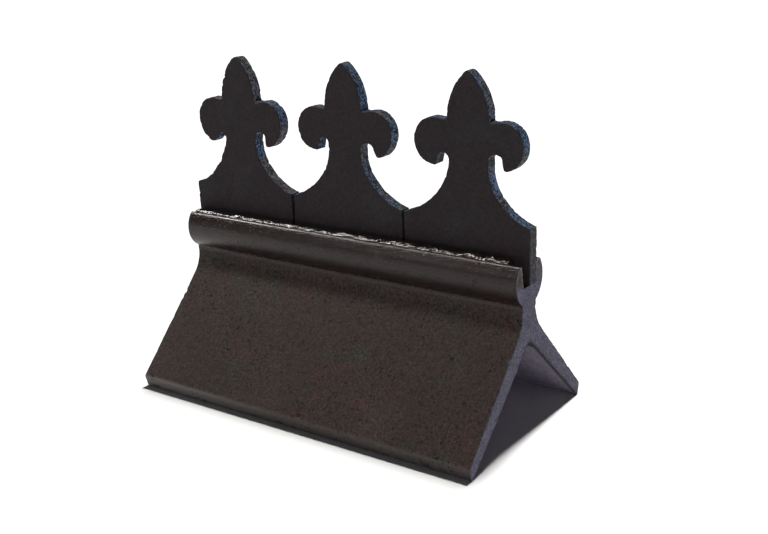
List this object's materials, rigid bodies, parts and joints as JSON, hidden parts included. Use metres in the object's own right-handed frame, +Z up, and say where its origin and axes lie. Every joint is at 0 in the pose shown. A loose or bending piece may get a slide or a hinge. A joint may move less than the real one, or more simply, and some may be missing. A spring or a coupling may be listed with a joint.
{
  "type": "decorative ridge tile",
  "caption": "Clay ridge tile whose two wings straddle a roof ridge, with a slotted roll on top holding fleur-de-lis crest plates bedded in mastic.",
  "frame": {"origin": "centre of the bounding box in plan, on the plane the two wing feet stand on", "axes": "+X along the ridge, +Z up, -Y the front, the side on which the mastic shows"},
  "size_m": [0.4536, 0.2422, 0.3799],
  "materials": {
    "tile_clay": "dark fired clay, matt on the wings and faintly glossy on the roll, pitted and mottled",
    "crest_clay": "matt near-black faces with rough blue-grey cut edges",
    "mastic": "glossy black, lumpy"
  },
  "bodies": {
    "root": {"ridge_body": "tile_clay", "crest_left": "crest_clay", "crest_middle": "crest_clay", "crest_right": "crest_clay", "mastic_bead": "mastic"}
  },
  "joints": []
}
